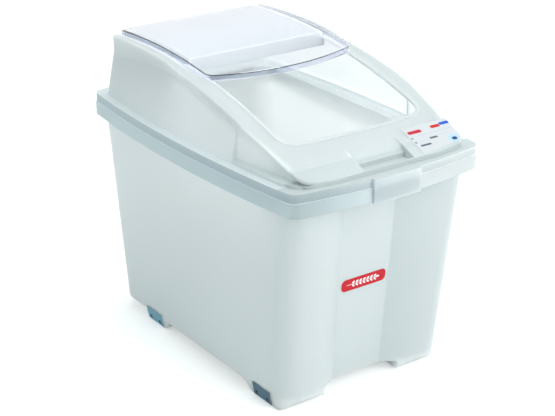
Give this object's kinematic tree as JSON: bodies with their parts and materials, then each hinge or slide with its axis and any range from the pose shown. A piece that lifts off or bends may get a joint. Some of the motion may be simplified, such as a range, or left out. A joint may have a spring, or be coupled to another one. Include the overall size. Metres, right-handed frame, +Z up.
{
  "type": "ingredient bin",
  "caption": "Floor-standing plastic ingredient bin: tapered tub with a front channel, sloping lift-off hood and clear curved cover that slides back over the opening.",
  "frame": {"origin": "on the ground under the centre of the object's bounding box", "axes": "+Z up, the front with the channel faces -Y, +X to the right as seen from the front, the long side along Y"},
  "size_m": [0.3976, 0.6169, 0.5077],
  "materials": {
    "white_pp": "satin",
    "hood_pp": "satin",
    "clear_pc": "gloss",
    "foot_grey": "matt",
    "screw_steel": "satin",
    "label_print": "satin",
    "badge_red": "gloss"
  },
  "bodies": {
    "base": {"tub": "white_pp", "foot_front_left": "foot_grey", "foot_front_right": "foot_grey", "foot_rear_left": "foot_grey", "foot_rear_right": "foot_grey", "foot_screws": "screw_steel", "front_badge": "badge_red"},
    "lid": {"hood": "hood_pp", "hood_label": "label_print"},
    "cover": {"sliding_cover": "clear_pc"}
  },
  "joints": [
    {"name": "hood_lift", "type": "slide", "parent": "base", "child": "lid", "axis": [0, 0, 1], "range_m": [0, 0.05]},
    {"name": "cover_slide", "type": "hinge", "parent": "lid", "child": "cover", "pos_m": [0, 0.16725, -0.62223], "axis": [1, 0, 0], "range_deg": [0, 9.85]}
  ]
}
